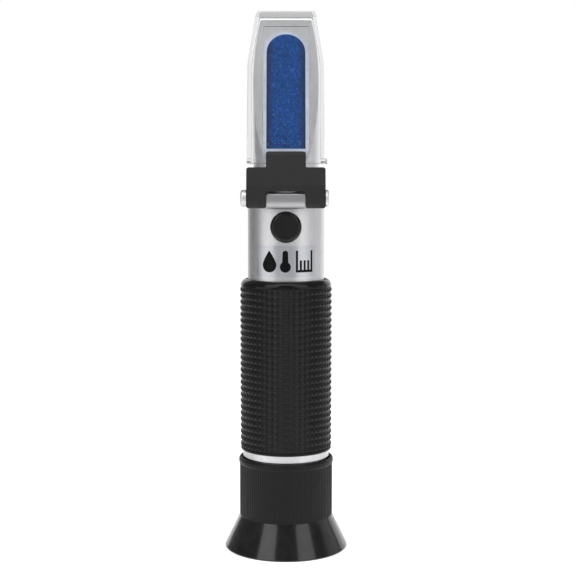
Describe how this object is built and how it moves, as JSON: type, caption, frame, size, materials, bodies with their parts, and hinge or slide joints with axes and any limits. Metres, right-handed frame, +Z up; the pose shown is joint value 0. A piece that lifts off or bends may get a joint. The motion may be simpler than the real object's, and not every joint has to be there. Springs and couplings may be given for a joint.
{
  "type": "refractometer",
  "caption": "Handheld refractometer with a sloped blue prism under a hinged clear cover plate, a calibration screw under a rubber plug, a studded grip and a turning eyepiece with an eyecup.",
  "frame": {"origin": "centre of the eyecup's rim, on the face that the object stands on", "axes": "+Z up along the optical axis from the eyecup to the prism; -Y is the side of the prism, flap and calibration screw"},
  "size_m": [0.0406, 0.0406, 0.1778],
  "materials": {
    "clear_acrylic": "clear polished",
    "black_plastic": "matte moulded",
    "bright_steel": "turned",
    "satin_metal": "satin plated",
    "pale_seal": "pale potting",
    "blue_glass": "blue coated",
    "black_rubber": "matte",
    "label_foil": "satin foil",
    "grip_rubber": "semi-gloss moulded",
    "cup_rubber": "glossy moulded",
    "black_metal": "black anodised",
    "strip_metal": "rolled",
    "lens_glass": "coated",
    "brass_part": "turned",
    "tube_metal": "turned"
  },
  "bodies": {
    "barrel": {"hinge_pin": "bright_steel", "hinge_pin_collar": "bright_steel", "prism_head": "satin_metal", "prism_seal": "pale_seal", "main_prism": "blue_glass", "body_label": "label_foil", "grip_sleeve": "grip_rubber", "adapter_ring": "satin_metal", "prism_clamp": "black_metal", "prism_clamp_screws": "bright_steel", "atc_strip": "strip_metal", "atc_screw": "bright_steel", "cell_guide_ring": "black_metal", "calibration_bush": "brass_part", "cell_spring": "strip_metal", "main_tube": "tube_metal", "field_baffle": "black_metal", "reticle": "lens_glass", "reticle_retainer": "black_metal", "tube_seal": "black_rubber", "guide_screw": "bright_steel", "focus_seal": "black_rubber"},
    "flap": {"cover_plate": "clear_acrylic", "hinge_bracket": "black_plastic"},
    "objective": {"objective_cell": "black_metal", "objective_lens": "lens_glass", "objective_retainer": "black_metal"},
    "eyepiece": {"eyepiece_tube": "black_metal", "eye_lens": "lens_glass", "lens_spacer": "black_metal", "field_lens": "lens_glass", "eye_retainer": "black_metal"},
    "focus": {"focus_ring": "black_plastic", "eyecup": "cup_rubber"},
    "screw": {"calibration_screw": "brass_part"},
    "plug": {"calibration_cap": "black_rubber"}
  },
  "joints": [
    {"name": "flap_hinge", "type": "hinge", "parent": "barrel", "child": "flap", "pos_m": [0, -0.0143, 0.1161], "axis": [1, 0, 0], "range_deg": [0, 110]},
    {"name": "objective_shift", "type": "slide", "parent": "barrel", "child": "objective", "axis": [0, 1, 0], "range_m": [-0.00029, 0.00029]},
    {"name": "calibration_turn", "type": "hinge", "parent": "objective", "child": "screw", "pos_m": [0, -0.0115, 0.1069], "axis": [0, 1, 0], "range_deg": [-210, 210]},
    {"name": "plug_pull", "type": "slide", "parent": "barrel", "child": "plug", "axis": [0, -1, 0], "range_m": [0, 0.0035]},
    {"name": "focus_travel", "type": "slide", "parent": "barrel", "child": "eyepiece", "axis": [0, 0, 1], "range_m": [-0.0024, 0.0015]},
    {"name": "focus_turn", "type": "hinge", "parent": "eyepiece", "child": "focus", "pos_m": [0, 0, 0.02], "axis": [0, 0, 1], "range_deg": [-145, 91]}
  ],
  "couplings": [
    {"joint": "focus_turn", "follows": "focus_travel", "rad_per_m": 1047.2},
    {"joint": "calibration_turn", "follows": "objective_shift", "rad_per_m": 12566}
  ]
}
